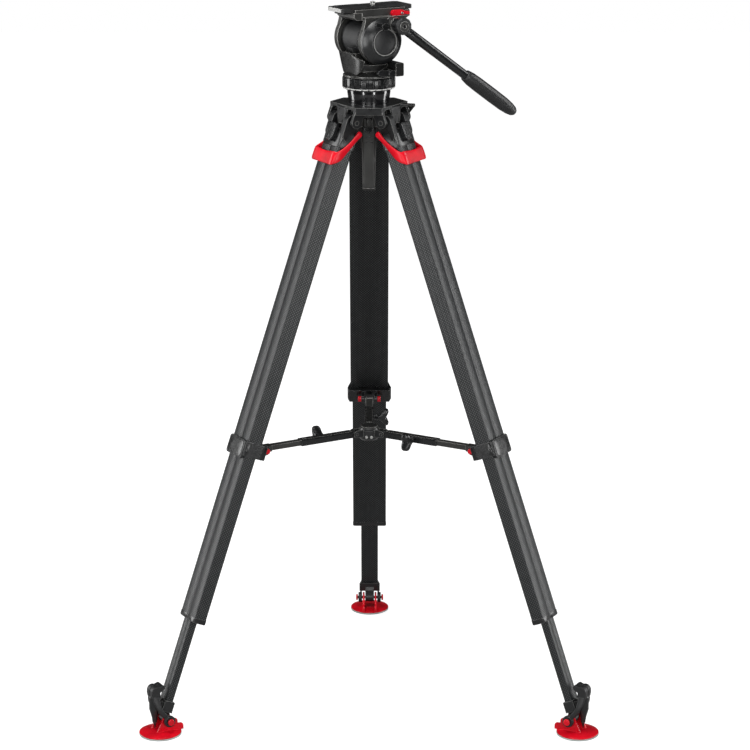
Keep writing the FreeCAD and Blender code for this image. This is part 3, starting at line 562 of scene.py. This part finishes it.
def leg_bracket(leg):
    """Spreader bracket round the upper tube's end: band, release buttons, cover and face plate."""
    place = leg_frame(leg)
    (n0, n1), h0 = UPPER["n"], UPPER["half"][0]
    s0, s1 = BRACKET_S
    hole = tube_outline(UPPER, -0.15)
    pivot = place.inverted() @ upright_frame(leg) @ Vector((BRACKET_PIVOT[0], 0.0, BRACKET_PIVOT[1]))
    centre = Vector(((n0 + n1) / 2, 0.0))

    def skin(grow):
        out = []
        for n, t in hole:
            away = (Vector((n, t)) - centre).normalized()
            inward = BAND_INNER * grow if n < n0 + 3 and abs(t) < h0 * 0.97 else 0.0
            out.append((n + away.x * grow - inward, t + away.y * grow))
        return out

    rings = tube_rings([(hole, s0), (skin(2.6), s0), (skin(4.4), s0 + 2.5), (skin(4.6), s1 - 3.0),
                        (skin(3.0), s1), (hole, s1)])
    Shape().loft(rings, closed=True).piece(
        "bracket_band_" + leg, place, "leg_" + leg, PLASTIC, "black_plastic", crease=40.0)
    for side in (-1, 1):
        profile = [(0.0, 15.2), (5.3, 15.2), (5.3, 20.8), (4.6, 21.6), (0.0, 21.8)]
        Shape().lathe([(r, y * side) for r, y in profile], 32, along_y(pivot.x, pivot.z)).piece(
            "release_button_%s_%d" % (leg, (side + 1) // 2), place, "leg_" + leg, RED, "red_plastic")
    for name, finish, slot, levels in (
            ("bracket_cover_", CASTING, "casting", ((14.5, 1.0), (16.6, 1.0), (17.5, 0.96))),
            ("bracket_face_", PLASTIC, "black_plastic",
             ((17.0, 0.9), (18.0, 0.88), (18.5, 0.78), (18.6, 0.4)))):
        rings = []
        for n, scale in levels:
            rings.append([(n, 28.0 * scale * a, -609.5 + 16.5 * scale * b)
                          for a, b in superellipse(40, 5.0)])
        Shape().loft(rings).piece(name + leg, place, "leg_" + leg, finish, slot, crease=50.0)


def foot(leg):
    """Red swivel pad with its grey sole and two fins, the ankle's buttons, and its strap with a hook."""
    place = upright_frame(leg)
    radius = PAD_R
    pin = Vector(JOINTS["foot_tilt_" + leg]["pos_m"]) * 1000
    ankle = (math.hypot(pin.x, pin.y), pin.z)
    body = "foot_" + leg

    def disc(r, z):
        return [(PAD_CENTRE + max(r * math.cos(a), PAD_INNER_CUT), r * math.sin(a), z)
                for a in (2 * math.pi * i / 72 for i in range(72))]

    Shape().loft([disc(radius - 1.6, 0.0), disc(radius - 0.3, 0.8), disc(radius, 2.6),
                  disc(radius - 0.6, 3.0)]).piece("foot_sole_" + leg, place, body, SOLE, "rubber")
    pad = Shape().loft([disc(radius - 1.2, 2.9), disc(radius - 0.5, 3.6), disc(radius - 0.2, 4.9),
                        disc(radius - 1.8, 5.7), disc(radius - 8.0, 6.8), disc(24.0, 8.5),
                        disc(12.0, 8.7)])
    for side in (-1, 1):
        outline = [(394.5, 6.0), (394.5, 12.5)] + arc((400.0, 13.0), 5.5, 180, 80, 6)
        outline += [(404.5, 19.0), (413.0, 29.0)] + arc((426.0, 28.6), 9.4, 150, 30, 8) + [(447.0, 6.0)]
        pad.prism(outline, side * FIN_SIDE[0], side * FIN_SIDE[1])
    pad.piece("foot_disc_" + leg, place, body, RED, "red_plastic", replaces=["foot_pad_" + leg], bevel=0.5)
    for side in (-1, 1):
        spin = along_y(ankle[0], ankle[1], side * ANKLE_BUTTON_SIDE)
        profile = [(0.0, -1.2), (6.1, -1.2), (6.1, 1.0), (5.0, 1.9), (0.0, 2.1)]
        Shape().lathe([(r, y * side) for r, y in profile], 32, spin).piece(
            "ankle_button_%s_%d" % (leg, (side + 1) // 2), place, "low_" + leg, RED, "red_plastic")
    strap = Shape()
    for side in (-1, 1):
        spin = along_y(ankle[0], ankle[1], side * STRAP_EYE_SIDE)
        strap.lathe([(5.6, -3.6), (9.6, -3.6), (10.5, -2.6), (10.5, 2.6), (9.4, 3.6), (5.6, 3.6)], 40, spin)
        path = [((ankle[0] + 4.0, side * 17.6, ankle[1] + 7.5), (0.75, 0, -0.66), 5.2, 1.7),
                ((435.5, side * 17.2, 42.5), (0.77, 0, -0.64), 4.6, 1.8),
                ((441.5, side * 16.2, 53.0), (0.88, 0, -0.48), 4.8, 2.0),
                ((445.0, side * 13.0, 64.0), (0.98, 0, -0.2), 6.0, 2.4),
                ((445.5, side * 9.0, 74.0), (1.0, 0, 0.1), 7.2, 3.2)]
        strap.sweep(smoothed(path, 4), corners=16, square=3.0)
    outline = [(453.0, 73.5), (454.3, 80.5)] + arc((444.5, 85.0), 9.6, 10, 120, 7)
    outline += arc((433.0, 90.9), 4.6, 85, 250, 7)
    outline += [(438.0, 82.5), (437.0, 73.5), (440.0, 66.0), (448.0, 66.0)]
    strap.prism(outline, -11.5, -0.8)
    strap.prism(outline, 0.8, 11.5)
    strap.block((439.0, -3.0, 67.0), (451.0, 3.0, 79.0))
    strap.piece("ankle_strap_" + leg, place, "strap_" + leg, RUBBER, "rubber",
                replaces=["foot_strap_" + leg], bevel=1.6, crease=40.0)


def spreader():
    """Hub cap, hub screws, arm stripes and the thumb wings of the mid-level spreader."""
    cap = Shape().lathe([(0.0, 513.6), (12.5, 513.6), (15.5, 514.2), (15.0, 515.4), (10.0, 516.4),
                         (0.0, 516.6)], 56)
    cap.piece("hub_cap", BOWL, "hub", SHELL, "head_shell")
    for side in (-1, 1):
        spin = Matrix.Translation((side * 4.5, -17.6, 498.0)) @ Matrix.Rotation(math.radians(90), 4, "X")
        profile = [(0.0, -1.0), (2.6, -1.0), (2.6, 1.6), (2.0, 2.2), (1.3, 2.2), (1.0, 1.2), (0.0, 1.2)]
        Shape().lathe(profile, 28, spin).piece(
            "hub_screw_%d" % ((side + 1) // 2), BOWL, "hub", STEEL, "steel")
    for leg in LEGS:
        place = upright_frame(leg)
        z = ARM_Z
        rings = [[(r, 6.4 * scale * a, z + 6.0 + lift) for r, a in
                  ((88.0 + 51.0 * p, q) for p, q in superellipse(28, 6.0))]
                 for scale, lift in ((1.0, -0.2), (1.0, 0.25), (0.85, 0.5))]
        Shape().loft(rings).piece("arm_stripe_" + leg, place, "arm_" + leg, SHELL, "head_shell")
        wing = Shape()
        half = [(-12.2, 3.6), (-18.0, 4.8), (-24.0, 9.0), (-30.5, 16.0), (-35.0, 15.0), (-36.4, 10.0),
                (-33.6, 3.2), (-31.5, 0.0)]
        outline = half + [(y, -w) for y, w in reversed(half[:-1])]
        wing.loft([[(WING_R + t, y * k - 24.0 * (1 - k), z + w * k) for y, w in outline]
                   for t, k in ((-8.5, 0.6), (-6.5, 0.9), (-3.0, 1.0), (3.0, 1.0), (6.5, 0.9), (8.5, 0.6))])
        profile = [(0.0, -18.5), (5.0, -18.5), (6.0, -17.0), (6.0, -12.6), (4.8, -10.8), (2.0, -10.8),
                   (2.0, -7.0), (0.0, -7.0)]
        wing.lathe(profile, 32, along_y(WING_R, z))
        wing.piece("thumb_wing_" + leg, place, "wing_" + leg, PLASTIC, "black_plastic",
                   replaces=["wing_screw_" + leg], bevel=0.6)


# ---------------------------------------------------------------- clamp handle and bowl
def clamp_handle():
    """Tapered flat handle with light edges (a painted highlight from its finish), a ribbed nut, a medallion
    and three arrow marks.
    """
    rings = []
    for z, wide, deep in ((1090.5, 14.6, 23.0), (1078.0, 14.6, 21.5), (1066.0, 14.2, 18.0),
                          (1040.0, 13.2, 13.2), (1000.0, 12.2, 10.6), (966.0, 11.4, 9.2),
                          (957.5, 11.0, 8.4), (955.6, 9.0, 6.8)):
        rings.append([(wide * a, deep * b, z) for a, b in superellipse(32, 6.0)])
    grip = Shape().loft(rings)
    count = 30
    nut = []
    for z, r in ((1071.0, 22.0), (1073.5, 25.0), (1087.0, 25.6), (1090.6, 23.0)):
        nut.append([((r + 0.7 * math.cos(math.pi * i)) * math.cos(math.pi * i / count),
                     (r + 0.7 * math.cos(math.pi * i)) * math.sin(math.pi * i / count), z)
                    for i in range(2 * count)])
    grip.loft(nut)
    grip.piece("handle_grip", BOWL, "clamp", SATIN, "black_plastic", replaces=["clamp_handle"],
               bevel=0.8, crease=50.0)
    for side in (-1, 1):
        turn = Matrix.Rotation(math.radians(-90 * side), 4, "X")
        spin = Matrix.Translation((0.0, 0.0, MEDALLION_Z)) @ turn
        profile = [(0.0, 17.0), (10.2, 17.0), (10.2, 21.4), (9.4, 22.2), (8.4, 22.2), (7.9, 21.3),
                   (0.0, 21.2)]
        Shape().lathe(profile, 48, spin).piece(
            "handle_medallion_%d" % ((side + 1) // 2), BOWL, "clamp", PLASTIC, "black_plastic", bevel=0.2)
        for number, z in enumerate(MARKS_Z):
            y = side * (13.3 + (z - 1040.0) * 0.185 - 0.1)    # on the handle's taper
            outline = [(-7.5, z - 1.0), (0.0, z + 1.4), (7.5, z - 1.0), (7.5, z + 0.4), (0.0, z + 2.8),
                       (-7.5, z + 0.4)]
            Shape().prism(outline, y - side * 0.8, y + side * 0.45).piece(
                "handle_mark_%d_%d" % (number, (side + 1) // 2), BOWL, "clamp", GLOSS, "gloss_black")
    rings = [[(wide * a, deep * b, z) for a, b in superellipse(32, 6.0)]
             for z, wide, deep in ((958.4, 11.5, 8.9), (956.0, 11.3, 8.7), (954.6, 10.2, 7.8),
                                   (954.2, 7.0, 5.4))]
    Shape().loft(rings).piece("handle_end", BOWL, "clamp", SHELL, "head_shell")


# ---------------------------------------------------------------- fluid head
def head_shield():
    """Satin fairing round the front of the head's base."""
    rows = ((1165.0, -36.0, 24.0), (1168.0, -38.0, 34.0), (1174.0, -40.0, 43.0), (1183.0, -41.0, 49.0),
            (1192.5, -41.0, 51.5), (1196.5, -41.0, 36.0), (1200.5, -41.0, 18.0), (1203.5, -41.0, 13.0))
    steps = 28
    skins = []
    for thick in (0.0, 1.6):
        skin = []
        for z, start, end in rows:
            scale = 0.86 + 0.14 * (z - rows[0][0]) / 38.0    # narrower at its foot
            row = []
            for i in range(steps + 1):
                a = math.radians(start + (end - start) * i / steps)
                squarish = (abs(math.cos(a)) / 43.5) ** 4 + (abs(math.sin(a)) / 52.0) ** 4
                r = squarish ** -0.25 * scale - thick
                row.append((r * math.cos(a), r * math.sin(a), z))
            skin.append(row)
        skins.append(skin)
    shield = Shape()
    rings = [outer + inner[::-1] for outer, inner in zip(*skins)]
    shield.loft(rings)
    shield.piece("front_shield", HEAD, "pan_head", SHELL, "head_shell", bevel=0.4, crease=50.0)


def head_caps():
    """Round side caps with a plain ring, the far arm's rim and the tilt scale."""
    axis = along_y(0.0, JOINTS["tilt"]["pos_m"][2] * 1000)
    near = [(0.0, 54.0), (22.0, 54.0), (22.4, 55.3), (23.4, 55.3), (23.8, 56.6), (25.8, 56.9),
            (27.5, 56.3), (33.0, 51.8), (38.0, 47.4), (40.0, 45.0), (40.5, 42.0), (40.5, 40.2),
            (0.0, 40.2)]
    Shape().lathe(near, ROUND_STEPS, axis).piece(
        "near_cap", HEAD, "tilt_head", CASTING, "casting", replaces=["side_covers"], crease=28.0)
    face = [(0.0, 53.9), (21.6, 53.9), (21.6, 54.7), (20.8, 55.2), (0.0, 55.3)]
    Shape().lathe(face, 72, axis).piece(
        "near_cap_face", HEAD, "tilt_head", RUBBER, "rubber")
    ring = [(22.5, 55.0), (23.5, 55.0), (23.5, 56.6), (22.5, 56.6)]
    Shape().lathe(ring, ROUND_STEPS, axis).piece(
        "near_cap_ring", HEAD, "tilt_head", ALUMINIUM, "plate_metal")
    far = [(0.0, -57.4), (30.0, -57.2), (34.5, -56.0), (37.5, -52.8), (37.5, -51.4), (0.0, -51.4)]
    Shape().lathe(far, ROUND_STEPS, axis).piece(
        "far_cap", HEAD, "tilt_head", CASTING, "casting", crease=28.0)
    rim = [(36.8, -51.7), (36.8, -52.4), (39.4, -52.4), (40.6, -51.0), (40.9, -46.0), (40.9, -41.6),
           (39.8, -40.8), (38.8, -41.2), (39.2, -46.0), (38.0, -51.7)]
    Shape().lathe(rim, ROUND_STEPS, axis).piece(
        "far_arm_rim", HEAD, "tilt_head", SATIN, "head_shell")
    scale = [(33.6, 17.4), (35.4, 17.4), (35.8, 17.9), (35.8, 18.3), (33.6, 18.3)]
    Shape().lathe(scale, ROUND_STEPS, axis).piece(
        "tilt_scale", HEAD, "tilt_ring", WHITE, "steel")


def head_ring():
    """Ribbed pan ring with a white scale band."""
    count = 27
    r0, r1 = 45.2, 47.2
    profile = []
    for i in range(count):
        for share, r in ((0.0, r0), (0.12, r0), (0.2, r1), (0.8, r1), (0.88, r0)):
            a = 2 * math.pi * (i + share) / count
            profile.append((a, r))

    def ring(z, shift):
        return [((r + shift) * math.cos(a), (r + shift) * math.sin(a), z) for a, r in profile]
    ribs = Shape().loft([ring(1143.2, -0.4), ring(1144.0, 0.0), ring(1156.6, 0.0), ring(1158.8, -1.2),
                         ring(1159.4, -2.6)])
    ribs.lathe([(20.5, 1136.5), (40.2, 1136.5), (45.8, 1139.6), (46.9, 1141.2), (46.9, 1142.8),
                (45.6, 1143.4), (20.5, 1143.4)], 108)
    ribs.piece("pan_ring_ribs", BOWL, "pan_ring", RIBBED, "black_plastic",
               replaces=["pan_drag_ring"], bevel=0.25)
    band = Shape().lathe([(44.6, 1138.7), (45.75, 1139.3), (46.9, 1140.9), (46.9, 1141.5),
                          (46.0, 1141.5)], 108)
    band.piece("pan_scale", BOWL, "pan_ring", WHITE, "steel")
    ticks = Shape()
    for i in range(24):
        turn = Matrix.Rotation(2 * math.pi * i / 24, 4, "Z")
        wide = 0.9 if i % 6 else 1.5
        rings = [[turn @ Vector(p) for p in ((45.5, -wide, z - 0.8), (r, -wide, z), (r, wide, z),
                                             (45.5, wide, z - 0.8))]
                 for z, r in ((1138.8, 45.8), (1140.9, 47.15))]
        ticks.loft(rings)
    ticks.piece("pan_scale_ticks", BOWL, "pan_ring", PLASTIC, "black_plastic")
    flare = Shape().lathe([(40.0, 1160.2), (45.4, 1160.2), (46.0, 1160.8), (45.4, 1162.6), (42.5, 1164.6),
                           (39.6, 1166.8), (36.0, 1168.8), (34.2, 1168.8), (34.2, 1162.0)], ROUND_STEPS)
    flare.piece("base_flare", BOWL, "pan_head", SHELL, "head_shell")


def bar_knob():
    """Big round clamp knob with finger scallops, a grey disc and a hex socket."""
    x, _, z = knob_place()
    count = 12
    rings = []
    for y, r in ((74.4, 13.6), (75.2, 15.0), (81.0, 15.2), (82.6, 14.4), (83.0, 13.0)):
        ring = []
        for i in range(count * 6):
            a = 2 * math.pi * i / (count * 6)
            dip = 0.8 * max(0.0, math.cos(count * a)) ** 2
            ring.append((x + (r - dip) * math.cos(a), y, z + (r - dip) * math.sin(a)))
        rings.append(ring)
    Shape().loft(rings).piece("knob_grip", HEAD, "bar_knob", RUBBER, "rubber",
                              replaces=["bar_clamp_knob"], crease=50.0)
    profile = [(0.0, 82.6), (3.3, 82.6), (3.6, 83.6), (7.6, 83.6), (9.0, 83.2), (9.2, 82.4), (0.0, 82.4)]
    Shape().lathe(profile, 48, along_y(x, z)).piece("knob_disc", HEAD, "bar_knob", SATIN, "head_shell")
    hexagon = [(x + 2.6 * math.cos(math.radians(a)), z + 2.6 * math.sin(math.radians(a)))
               for a in range(0, 360, 60)]
    Shape().prism(hexagon, 82.5, 83.2).piece("knob_socket", HEAD, "bar_knob", GLOSS, "gloss_black")


def knob_place():
    pivot = head_local(JOINTS["bar_angle"]["pos_m"])
    return pivot.x, pivot.y, pivot.z


def head_local(point):
    return HEAD.inverted() @ Vector(point)


def pan_bar():
    """Tapered bar with its head disc, and a fluted rubber grip with a rounded end."""
    x, y, z = knob_place()
    drop = math.radians(BAR_DROP)
    spin = Matrix.Translation((x, y, z)) @ Matrix.Rotation(-math.pi / 2 - drop, 4, "Y")
    tube = [(0.0, 4.0), (6.9, 4.0), (7.0, 14.0), (8.3, 17.0), (8.4, 60.0), (8.0, 172.0), (0.0, 172.0)]
    disc = [(4.2, -7.6), (12.2, -7.6), (13.0, -6.6), (13.0, 7.2), (12.0, 8.2), (4.2, 8.2)]
    bar = Shape().lathe(tube, 40, spin)
    bar.lathe(disc, 48, along_y(x, z, y))
    bar.piece("bar_tube", HEAD, "bar", PLASTIC, "black_plastic", replaces=["pan_bar"], bevel=0.3)
    count, grip = 12, []
    for along, r, dip in ((168.0, 8.6, 0.0), (169.0, 10.4, 0.0), (174.0, 11.2, 0.3), (182.0, 12.3, 0.7),
                          (200.0, 12.9, 0.9), (240.0, 13.0, 0.9), (268.0, 12.6, 0.9), (284.0, 11.2, 0.6),
                          (294.0, 9.0, 0.3), (298.6, 6.0, 0.0), (300.2, 2.5, 0.0)):
        ring = []
        for i in range(count * 4):
            a = 2 * math.pi * i / (count * 4)
            rr = r - 0.5 * dip * max(0.0, math.cos(count * a))
            ring.append(spin @ Vector((rr * math.cos(a), rr * math.sin(a), along)))
        grip.append(ring)
    Shape().loft(grip).piece("bar_grip", HEAD, "bar", RUBBER, "rubber", replaces=["pan_bar_grip"],
                             crease=60.0)


def camera_plate():
    """Black plate with bare metal ends, rubber strips on top, its clamp's screw and the camera screw."""
    rear, front, half = PLATE_REAR, PLATE_FRONT, PLATE_HALF

    def rounded_plate(z, grow):
        out = []
        r = 4.0
        for cx, cy, start in ((front - r, half - r, 0), (rear + r, half - r, 90),
                              (rear + r, -half + r, 180), (front - r, -half + r, 270)):
            out += [(px, py, z) for px, py in arc((cx, cy), r + grow, start, start + 90, 5)]
        return out

    plate = Shape().loft([rounded_plate(1276.4, -1.0), rounded_plate(1277.2, -0.1),
                          rounded_plate(1283.2, -0.1), rounded_plate(1284.0, -0.9)])
    plate.block((rear + 0.5, -15.0, 1272.1), (front - 8.0, 15.0, 1276.8))
    plate.piece("plate_body", HEAD, "plate", ANODISED, "plate_metal", replaces=["camera_plate"], bevel=0.35)
    pads = Shape()
    for side in (-1, 1):
        for start, end in ((rear + 8.0, -26.0), (10.0, front - 8.0)):
            rings = [[((start + end) / 2 + (end - start) / 2 * k * a, side * 15.0 + 7.5 * k * b, z)
                      for a, b in superellipse(28, 8.0)]
                     for z, k in ((1283.7, 1.0), (1284.6, 1.0), (1284.8, 0.97))]
            pads.loft(rings)
    pads.piece("plate_pads", HEAD, "plate", RUBBER, "rubber")
    ends = Shape()
    for x0, x1 in ((rear - 0.35, rear + 0.6), (front - 0.6, front + 0.35)):
        rings = [[(x, (half - 4.2) * a, 1280.2 + 3.4 * b) for a, b in superellipse(32, 7.0)]
                 for x in (x0, x1)]
        ends.loft(rings)
    ends.piece("plate_ends", HEAD, "plate", ALUMINIUM, "plate_metal", bevel=0.2)
    lever = head_local(JOINTS["plate_lever_turn"]["pos_m"])
    profile = [(0.0, 36.2), (2.4, 36.2), (2.4, 37.7), (1.9, 38.1), (0.0, 38.1)]
    Shape().lathe(profile, 32, along_y(lever.x, lever.z)).piece(
        "lever_screw", HEAD, "plate_lock", STEEL, "steel")
    knurl, count = [], 36
    for z, r in ((1273.2, 8.6), (1273.8, 9.0), (1277.2, 9.0), (1277.8, 8.6)):
        knurl.append([(SCREW_X + (r - 0.3 * (i % 2)) * math.cos(math.pi * i / count),
                       (r - 0.3 * (i % 2)) * math.sin(math.pi * i / count), z)
                      for i in range(2 * count)])
    screw = Shape().loft(knurl)
    thread = [(0.0, 1277.0), (3.9, 1277.0), (3.9, 1284.6)]
    for i in range(5):
        thread += [(4.7, 1285.0 + i), (4.7, 1285.3 + i), (4.25, 1285.6 + i), (4.25, 1285.8 + i)]
    thread += [(3.9, 1290.4), (0.0, 1290.4)]
    screw.lathe(thread, 40, Matrix.Translation((SCREW_X, 0.0, 0.0)))
    screw.piece("screw_threads", HEAD, "plate_screw", STEEL, "steel", replaces=["camera_screw"])


# ---------------------------------------------------------------- stage, light, camera
def stage_floor():
    mesh = bpy.data.meshes.new("floor")
    floor = bpy.data.objects.new("floor", mesh)
    bm = bmesh.new()
    bmesh.ops.create_grid(bm, x_segments=1, y_segments=1, size=9.0)
    bm.to_mesh(mesh)
    bm.free()
    pale = bpy.data.materials.new("pale_floor")
    pale.use_nodes = True
    shader = pale.node_tree.nodes["Principled BSDF"]
    shader.inputs["Base Color"].default_value = (FLOOR_GREY, FLOOR_GREY, FLOOR_GREY, 1.0)
    shader.inputs["Roughness"].default_value = 0.9
    shader.inputs["Specular IOR Level"].default_value = 0.0
    shader.inputs["Emission Color"].default_value = (1.0, 1.0, 1.0, 1.0)
    nodes, links = pale.node_tree.nodes, pale.node_tree.links
    reach = nodes.new("ShaderNodeVectorMath")
    reach.operation = "LENGTH"
    links.new(nodes.new("ShaderNodeTexCoord").outputs["Object"], reach.inputs[0])
    fade = nodes.new("ShaderNodeMapRange")
    fade.interpolation_type = "SMOOTHSTEP"
    for place, value in ((1, FLOOR_LIT_R), (2, FLOOR_GLOW_R), (3, FLOOR_GLOW[0]), (4, FLOOR_GLOW[1])):
        fade.inputs[place].default_value = value
    links.new(reach.outputs["Value"], fade.inputs[0])
    seen = nodes.new("ShaderNodeMath")
    seen.operation = "MULTIPLY"
    links.new(fade.outputs[0], seen.inputs[0])
    links.new(nodes.new("ShaderNodeLightPath").outputs["Is Camera Ray"], seen.inputs[1])
    links.new(seen.outputs[0], shader.inputs["Emission Strength"])
    mesh.materials.append(pale)
    bpy.context.scene.collection.objects.link(floor)


def softbox(name, place, aim, size, watts):
    data = bpy.data.lights.new(name, "AREA")
    data.shape = "RECTANGLE"
    data.size, data.size_y = size
    data.energy = watts
    light = bpy.data.objects.new(name, data)
    light.location = place
    light.rotation_euler = (Vector(aim) - Vector(place)).to_track_quat("-Z", "Y").to_euler()
    light.visible_camera = False
    bpy.context.scene.collection.objects.link(light)


def studio():
    world = bpy.data.worlds.new("studio")
    world.use_nodes = True
    bpy.context.scene.world = world
    nodes, links = world.node_tree.nodes, world.node_tree.links
    lit = nodes["Background"]
    lit.inputs["Color"].default_value = (1.0, 1.0, 1.0, 1.0)
    lit.inputs["Strength"].default_value = WORLD_LIGHT
    seen = nodes.new("ShaderNodeBackground")
    seen.inputs["Color"].default_value = (1.0, 1.0, 1.0, 1.0)
    path = nodes.new("ShaderNodeLightPath")
    mix = nodes.new("ShaderNodeMixShader")
    links.new(path.outputs["Is Camera Ray"], mix.inputs[0])
    links.new(lit.outputs[0], mix.inputs[1])
    links.new(seen.outputs[0], mix.inputs[2])
    links.new(mix.outputs[0], nodes["World Output"].inputs[0])
    for light in LIGHTS:
        softbox(*light)
    bpy.context.scene.view_settings.view_transform = "Standard"


def camera():
    data = bpy.data.cameras.new("camera")
    data.sensor_width = 36.0
    data.lens = CAMERA_LENS
    made = bpy.data.objects.new("camera", data)
    made.location = CAMERA_PLACE
    made.rotation_euler = (math.radians(90.0 - CAMERA_DROP), 0.0, 0.0)
    bpy.context.scene.collection.objects.link(made)
    bpy.context.scene.camera = made


finish_nodes()
stage_floor()
studio()
camera()
for leg in LEGS:
    leg_tubes(leg)
    carry_loop(leg)
    top_fitting(leg)
    leg_bracket(leg)
    foot(leg)
spreader()
clamp_handle()
head_shield()
head_caps()
head_ring()
bar_knob()
pan_bar()
camera_plate()
